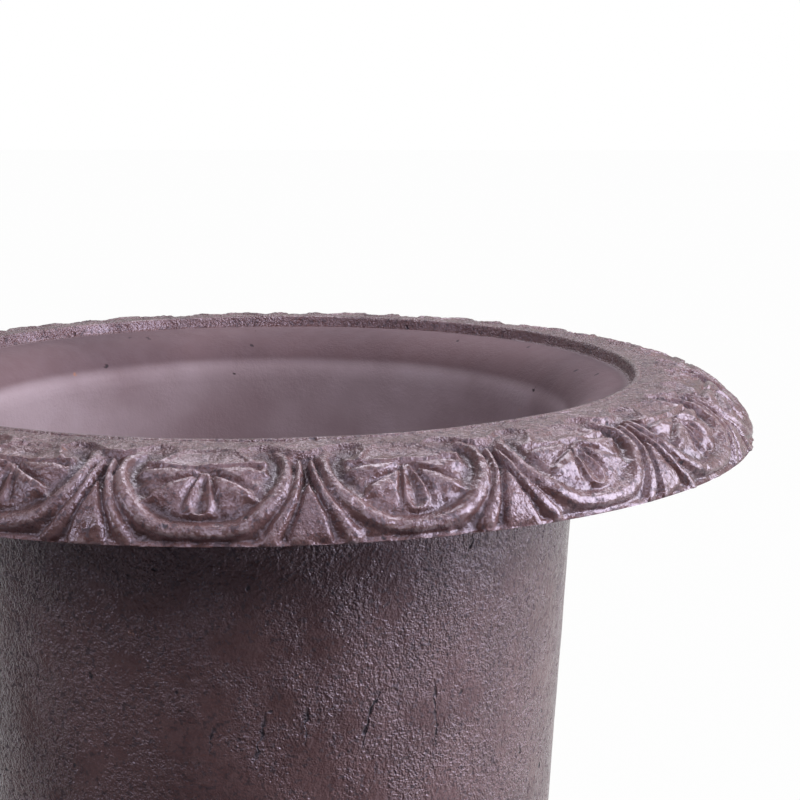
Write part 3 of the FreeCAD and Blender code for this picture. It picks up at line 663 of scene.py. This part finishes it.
def make_plinth(material):
    """Two square slabs with a slope between them, hollow below, with weep notches, drains and rod hole."""
    under_slab, under_web = SLAB - PLINTH_WALL, PLINTH_HIGH - WEB
    inner_half, pilot_half = PLINTH_TOP_HALF - PLINTH_WALL, ROD_HOLE_RADIUS / 2
    outline = rounded([
        (pilot_half, under_web), (inner_half, under_web, 1.5), (inner_half, under_slab, 1),
        (PLINTH_HALF - PLINTH_WALL, under_slab, 1.5), (PLINTH_HALF - PLINTH_WALL, 0, 0.6),
        (PLINTH_HALF, 0, 0.8), (PLINTH_HALF, SLAB, 1.6), (PLINTH_TOP_HALF, SLAB + SLAB_SLOPE, 1.2),
        (PLINTH_TOP_HALF, PLINTH_HIGH, 1.6), (pilot_half, PLINTH_HIGH),
    ], 3)
    piece, _ = turned("square_plinth", outline, 360)
    make_square(piece, 2)
    cast_unevenly(piece, 0.2, [PLINTH_LOW, PLINTH_HIGH])
    for turn in (0, math.pi / 2):
        deselect_all()
        bpy.ops.mesh.primitive_cube_add(
            size=MM, rotation=(0, 0, turn), scale=(WEEP_WIDTH, 2.4 * PLINTH_HALF, 2 * WEEP_HEIGHT))
        cut_away(piece, bpy.context.object)
    drill(piece, DRAIN_RADIUS, NECK_RADIUS, DRAINS, SLAB, PLINTH_HIGH + 1)
    drill(piece, ROD_HOLE_RADIUS, 0, 1, SLAB, PLINTH_HIGH + 1)
    place_piece(piece, material, "plinth", 35)


# Materials. A source is either a socket to link or a value to set.
def feed(tree, socket, source):
    if isinstance(source, bpy.types.NodeSocket):
        tree.links.new(source, socket)
    else:
        socket.default_value = source


def add_node(tree, kind, sources, **settings):
    """A node with settings, its inputs fed by name or number."""
    made = tree.nodes.new(kind)
    for name, setting in settings.items():
        setattr(made, name, setting)
    for socket, source in sources.items():
        feed(tree, made.inputs[socket], source)
    return made


def noise_at(tree, place, scale, detail, roughness=0.5):
    sources = {"Vector": place, "Scale": scale, "Detail": detail, "Roughness": roughness}
    return add_node(tree, "ShaderNodeTexNoise", sources).outputs["Fac"]


def between(tree, source, low, high, to_low=0.0, to_high=1.0):
    """A value carried smoothly from one range to another."""
    sources = {"Value": source, "From Min": low, "From Max": high, "To Min": to_low, "To Max": to_high}
    return add_node(tree, "ShaderNodeMapRange", sources, interpolation_type="SMOOTHSTEP").outputs["Result"]


def reckon(tree, operation, first, second):
    return add_node(tree, "ShaderNodeMath", {0: first, 1: second}, operation=operation).outputs["Value"]


def times(tree, first, second):
    return reckon(tree, "MULTIPLY", first, second)


def plus(tree, first, second):
    return reckon(tree, "ADD", first, second)


def mix_colours(tree, share, first, second):
    mixed = add_node(tree, "ShaderNodeMix", {0: share}, data_type="RGBA")
    feed(tree, mixed.inputs[6], first)
    feed(tree, mixed.inputs[7], second)
    return mixed.outputs[2]


def stored(tree, name):
    """A measure stored on the vertices, nought on a mesh that lacks it."""
    return add_node(tree, "ShaderNodeAttribute", {}, attribute_name=name).outputs["Fac"]


def add_group(tree, group, place, **sources):
    """The outputs of a node group at this place."""
    return add_node(tree, "ShaderNodeGroup", {"Vector": place, **sources}, node_tree=group).outputs


def new_group(name, inputs, outputs):
    """An empty shader node group with its named inputs and outputs."""
    group = bpy.data.node_groups.new(name, "ShaderNodeTree")
    for socket, kind in inputs.items():
        group.interface.new_socket(socket, in_out="INPUT", socket_type=kind)
    for socket, kind in outputs.items():
        group.interface.new_socket(socket, in_out="OUTPUT", socket_type=kind)
    return group, group.nodes.new("NodeGroupInput").outputs, group.nodes.new("NodeGroupOutput").inputs


def scattered_spots(tree, place, scale, size, share):
    """A mask of small round spots in some of the cells of an even scatter."""
    cells = add_node(tree, "ShaderNodeTexVoronoi", {"Vector": place, "Scale": scale})
    spot = between(tree, cells.outputs["Distance"], size, 0.4 * size)
    picked = add_node(tree, "ShaderNodeSeparateColor", {"Color": cells.outputs["Color"]}).outputs["Red"]
    return times(tree, spot, reckon(tree, "LESS_THAN", picked, share))


def make_sand_grain():
    """The skin that moulding sand leaves on iron: round grains, low lumps and scattered pits."""
    outputs = {"Height": "NodeSocketFloat", "Pits": "NodeSocketFloat"}
    group, given, result = new_group("sand_grain", {"Vector": "NodeSocketVector"}, outputs)
    place = given["Vector"]
    cells = add_node(group, "ShaderNodeTexVoronoi", {"Vector": place, "Scale": 1150.0})
    grains = between(group, cells.outputs["Distance"], 0.75, 0.0)
    fine = noise_at(group, place, 620.0, 3.0, 0.6)
    lumps = noise_at(group, place, 190.0, 2.0)
    wobble = add_node(group, "ShaderNodeTexNoise", {"Vector": place, "Scale": 260.0}).outputs["Color"]
    wobble = add_node(group, "ShaderNodeVectorMath", {0: wobble, 1: PIT_WOBBLE}, operation="MULTIPLY")
    shaken = add_node(group, "ShaderNodeVectorMath", {0: place, 1: wobble.outputs["Vector"]})
    pits = scattered_spots(group, shaken.outputs["Vector"], 130.0, 0.17, 0.12)
    height = plus(group, times(group, grains, 0.4), times(group, fine, 3.0))
    height = plus(group, height, times(group, lumps, 1.6))
    feed(group, result["Height"], reckon(group, "SUBTRACT", height, times(group, pits, 3.0)))
    feed(group, result["Pits"], pits)
    return group


def make_scars():
    """Thin upright cracks in the skin of the barrel."""
    outputs = {"Mask": "NodeSocketFloat"}
    group, given, result = new_group("scars", {"Vector": "NodeSocketVector"}, outputs)
    place = given["Vector"]
    axes = add_node(group, "ShaderNodeSeparateXYZ", {"Vector": place}).outputs
    shake = between(group, noise_at(group, place, 240.0, 3.0), 0.2, 0.8, -0.001, 0.001)
    shaken = plus(group, axes["X"], shake)
    thickness = between(group, noise_at(group, place, 420.0, 2.0), 0.4, 0.6, 0.0002, 0.0011)
    mask = 0.0
    for x, level, half_length, lean in SCARS:
        along = reckon(group, "SUBTRACT", axes["Z"], level * MM)
        off = reckon(group, "SUBTRACT", shaken, x * MM)
        off = reckon(group, "SUBTRACT", off, times(group, along, lean))
        close = between(group, reckon(group, "ABSOLUTE", off, 0.0), thickness, 0.0)
        from_middle = reckon(group, "ABSOLUTE", along, 0.0)
        short_of_end = between(group, from_middle, half_length * MM, 0.5 * half_length * MM)
        mask = reckon(group, "MAXIMUM", mask, times(group, close, short_of_end))
    in_front = reckon(group, "LESS_THAN", axes["Y"], 0.0)
    feed(group, result["Mask"], times(group, mask, in_front))
    return group


def make_rust_bloom():
    """Rare specks where rust breaks through."""
    inputs = {"Vector": "NodeSocketVector", "Share": "NodeSocketFloat"}
    group, given, result = new_group("rust_bloom", inputs, {"Mask": "NodeSocketFloat"})
    place = given["Vector"]
    specks = scattered_spots(group, place, 90.0, 0.13, given["Share"])
    ragged = between(group, noise_at(group, place, 900.0, 3.0), 0.4, 0.6)
    feed(group, result["Mask"], times(group, specks, ragged))
    return group


def new_material(name):
    material = bpy.data.materials.new(name)
    material.use_nodes = True
    tree = material.node_tree
    place = tree.nodes.new("ShaderNodeTexCoord").outputs["Object"]
    return material, tree, tree.nodes["Principled BSDF"].inputs, place


def add_bump(tree, height, strength, distance):
    sources = {"Height": height, "Strength": strength, "Distance": distance}
    return add_node(tree, "ShaderNodeBump", sources).outputs["Normal"]


def iron_colour(tree, place, masks):
    """Blotchy thin paint, then the layers over it in turn, among them painted shade, light and highlight."""
    blotches = between(tree, noise_at(tree, place, 42.0, 5.0, 0.6), 0.36, 0.66)
    colour = mix_colours(tree, blotches, DARK_PAINT, LIGHT_PAINT)
    thin = between(tree, noise_at(tree, place, 330.0, 3.0), 0.35, 0.7, 0.0, 0.5)
    colour = mix_colours(tree, thin, colour, THIN_PAINT)
    dust = between(tree, noise_at(tree, place, 16.0, 4.0), 0.3, 0.7)
    # Stain with painted shade past the mouth, dust with painted light in the bore, painted shade in hollows,
    # pits and cracks, wear with a painted highlight on the crests
    layers = {
        "past_mouth": mix_colours(tree, dust, DARK_STAIN_AND_SHADE, LIGHT_STAIN_AND_SHADE),
        "in_bore": mix_colours(tree, dust, DARKER_DUST_AND_PAINTED_LIGHT, LIGHTER_DUST_AND_PAINTED_LIGHT),
        "hollow": SHADE_IN_HOLLOWS, "speckles": DARK_SPECKLE, "worn_and_highlit": CREST_WEAR_AND_HIGHLIGHT, "marks": SHADE_IN_PITS,
        "rust": RUST_ON_PAINT,
    }
    for name, layer in layers.items():
        colour = mix_colours(tree, masks[name], colour, layer)
    return colour


def iron_roughness(tree, place, masks):
    """Glossy paint, matt in the hollows, pits and speckles and inside the pot."""
    roughness = between(tree, noise_at(tree, place, 160.0, 3.0), 0.3, 0.7, 0.07, 0.16)
    for name, matt in {"hollow": 0.15, "past_mouth": 0.7, "marks": 0.5, "speckles": 0.6}.items():
        roughness = plus(tree, roughness, times(tree, masks[name], matt))
    return roughness


def iron_relief(tree, place, masks):
    """How strongly the sand grain shows: in patches, less on the carving and least inside."""
    relief = between(tree, noise_at(tree, place, 60.0, 3.0), 0.35, 0.6, 0.45, 1.0)
    for name, least in {"past_mouth": 0.2, "carved": 0.4}.items():
        relief = times(tree, relief, between(tree, masks[name], 0.0, 1.0, 1.0, least))
    return relief


def brown_cast_iron(sand_grain, rust_bloom, scars):
    """Sand-cast iron under thin brown paint, pale on the crests as wear and painted highlight, darker past
    the mouth as stain and painted shade, lighter in the bore as dust and painted light, with painted shade in
    the hollows and pits.
    """
    material, tree, shader, place = new_material("brown_cast_iron")
    grain = add_group(tree, sand_grain, place)
    scar = add_group(tree, scars, place)["Mask"]
    depth, carved, inside = [stored(tree, name) for name in ("carved_depth", "carved", "inside")]
    masks = {
        "carved": carved,
        # Past the mouth the paint is darker, a stain that is also painted shade
        "past_mouth": between(tree, inside, 0.0, 0.5),
        # In the bore the paint is lighter, dust that is also painted light
        "in_bore": between(tree, inside, 0.5, 1.0),
        # The deep hollows of the carving, painted darker as shade
        "hollow": between(tree, depth, -1.6, -3.0),
        # Pits and cracks, painted near black as shade
        "marks": reckon(tree, "MAXIMUM", grain["Pits"], scar),
        "rust": add_group(tree, rust_bloom, place, Share=0.06)["Mask"],
    }
    speckles = between(tree, noise_at(tree, place, 560.0, 2.0), 0.44, 0.34)
    masks["speckles"] = times(tree, speckles, between(tree, masks["past_mouth"], 0.0, 1.0, 0.7, 0.0))
    # Pale on the raised crests of the carving: wear and a painted highlight
    crest = times(tree, carved, between(tree, depth, -1.0, -0.4))
    masks["worn_and_highlit"] = times(tree, crest, between(tree, noise_at(tree, place, 560.0, 3.0), 0.45, 0.6, 0.0, 0.35))
    feed(tree, shader["Base Color"], iron_colour(tree, place, masks))
    feed(tree, shader["Roughness"], iron_roughness(tree, place, masks))
    feed(tree, shader["IOR"], CAST_IRON_IOR)
    feed(tree, shader["Specular Tint"], CAST_IRON_SHEEN)
    height = reckon(tree, "SUBTRACT", grain["Height"], times(tree, scar, 3.0))
    feed(tree, shader["Normal"], add_bump(tree, height, iron_relief(tree, place, masks), 0.0005))
    return material


def dark_steel(rust_bloom):
    """Blackened bolts, nuts and rod, brushed by handling and spotted with rust."""
    material, tree, shader, place = new_material("dark_steel")
    rust = add_group(tree, rust_bloom, place, Share=0.5)["Mask"]
    stain = between(tree, noise_at(tree, place, 220.0, 4.0, 0.6), 0.35, 0.7)
    colour = mix_colours(tree, stain, DARK_STEEL, LIGHT_STEEL)
    feed(tree, shader["Base Color"], mix_colours(tree, rust, colour, RUST_ON_STEEL))
    feed(tree, shader["Metallic"], between(tree, rust, 0.0, 1.0, 0.85, 0.1))
    feed(tree, shader["Roughness"], between(tree, stain, 0.0, 1.0, 0.48, 0.34))
    feed(tree, shader["Normal"], add_bump(tree, noise_at(tree, place, 1100.0, 2.0), 0.4, 0.0001))
    return material


def gasket_rubber():
    """Sheet rubber, matt, with a dusty bloom."""
    material, tree, shader, place = new_material("gasket_rubber")
    dust = between(tree, noise_at(tree, place, 140.0, 4.0), 0.4, 0.75)
    feed(tree, shader["Base Color"], mix_colours(tree, dust, RUBBER, DUSTY_RUBBER))
    feed(tree, shader["Roughness"], between(tree, dust, 0.0, 1.0, 0.72, 0.9))
    feed(tree, shader["Normal"], add_bump(tree, noise_at(tree, place, 900.0, 2.0), 0.3, 0.0001))
    return material


# Light, floor and camera
def softbox(name, location, aim, size, energy):
    """A soft lamp that points at a level of the urn's axis."""
    lamp = bpy.data.lights.new(name, "AREA")
    lamp.shape = "RECTANGLE"
    lamp.size, lamp.size_y = size
    lamp.energy = energy
    stand = bpy.data.objects.new(name, lamp)
    bpy.context.collection.objects.link(stand)
    stand.location = location
    stand.rotation_euler = (Vector((0, 0, aim)) - stand.location).to_track_quat("-Z", "Y").to_euler()


def glow_towards(tree, direction, dimmest_and_brightest):
    """A level of glow by direction, up to the bright side of the studio, behind the urn and to its right."""
    sources = {0: direction, 1: BRIGHT_SIDE}
    to_bright_side = add_node(tree, "ShaderNodeVectorMath", sources, operation="DOT_PRODUCT").outputs["Value"]
    return between(tree, to_bright_side, DARK_UP_TO, BRIGHT_FROM, *dimmest_and_brightest)


def set_world():
    """A white room for the camera, dim for lighting, with its dark side behind the camera in reflections."""
    world = bpy.data.worlds.new("studio")
    bpy.context.scene.world = world
    world.use_nodes = True
    tree = world.node_tree
    background = tree.nodes["Background"]
    background.inputs["Color"].default_value = (1, 1, 1, 1)
    path = tree.nodes.new("ShaderNodeLightPath").outputs
    towards = tree.nodes.new("ShaderNodeTexCoord").outputs["Generated"]
    mirrored = glow_towards(tree, towards, ROOM_IN_REFLECTIONS)
    seen = reckon(tree, "MAXIMUM", path["Is Glossy Ray"], path["Is Transmission Ray"])
    level = add_node(tree, "ShaderNodeMix", {0: seen, 2: ROOM_LIGHT, 3: mirrored}).outputs[0]
    level = add_node(tree, "ShaderNodeMix", {0: path["Is Camera Ray"], 2: level, 3: 1.0}).outputs[0]
    feed(tree, background.inputs["Strength"], level)


def make_floor():
    deselect_all()
    bpy.ops.mesh.primitive_plane_add(size=FLOOR_SIZE)
    floor = bpy.context.object
    floor.name = "floor"
    material = bpy.data.materials.new("pale_floor")
    material.use_nodes = True
    tree = material.node_tree
    tree.nodes.remove(tree.nodes["Principled BSDF"])
    matt = add_node(tree, "ShaderNodeBsdfDiffuse", {"Color": FLOOR_GREY}).outputs["BSDF"]
    glow = add_node(tree, "ShaderNodeEmission", {"Strength": 1.0}).outputs["Emission"]
    path = tree.nodes.new("ShaderNodeLightPath").outputs
    place = tree.nodes.new("ShaderNodeTexCoord").outputs["Object"]
    towards = add_node(tree, "ShaderNodeVectorMath", {0: place}, operation="NORMALIZE").outputs["Vector"]
    mirrored = times(tree, path["Is Glossy Ray"], glow_towards(tree, towards, FLOOR_IN_REFLECTIONS))
    seen = times(tree, path["Is Camera Ray"], FLOOR_SHARE_WHITE)
    share = reckon(tree, "MAXIMUM", seen, mirrored)
    mixed = add_node(tree, "ShaderNodeMixShader", {0: share, 1: matt, 2: glow}).outputs["Shader"]
    feed(tree, tree.nodes["Material Output"].inputs["Surface"], mixed)
    floor.data.materials.append(material)


def make_camera():
    lens = bpy.data.cameras.new("camera")
    lens.lens = LENS
    lens.sensor_width = SENSOR
    camera = bpy.data.objects.new("camera", lens)
    bpy.context.collection.objects.link(camera)
    swing = math.radians(CAMERA_SWING)
    out_x, out_y = CAMERA_DISTANCE * math.sin(swing), -CAMERA_DISTANCE * math.cos(swing)
    camera.location = Vector((out_x, out_y, RIM_HIGH + CAMERA_HEIGHT)) * MM
    camera.rotation_euler = (math.radians(90 - LOOKS_DOWN), 0, math.radians(LOOKS_LEFT))
    bpy.context.scene.camera = camera


def paint(nodes, material):
    for name in nodes:
        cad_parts[name].data.materials.clear()
        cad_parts[name].data.materials.append(material)


bpy.context.scene.view_settings.view_transform = "Standard"
bloom = make_rust_bloom()
iron = brown_cast_iron(make_sand_grain(), bloom, make_scars())
for make_casting in (make_rim_carving, make_rim, make_body, make_cup, make_knop, make_foot, make_plinth):
    make_casting(iron)
paint(["cup_gasket"], gasket_rubber())
paint(["rim_bolts", "rim_washers", "cup_bolts", "cup_washers", "cup_nuts", "tie_rod", "tie_rod_top_nut",
       "tie_rod_top_washer", "tie_rod_bottom_nut", "tie_rod_bottom_washer"], dark_steel(bloom))
set_world()
make_floor()
for lamp in SOFTBOXES:
    softbox(*lamp)
make_camera()
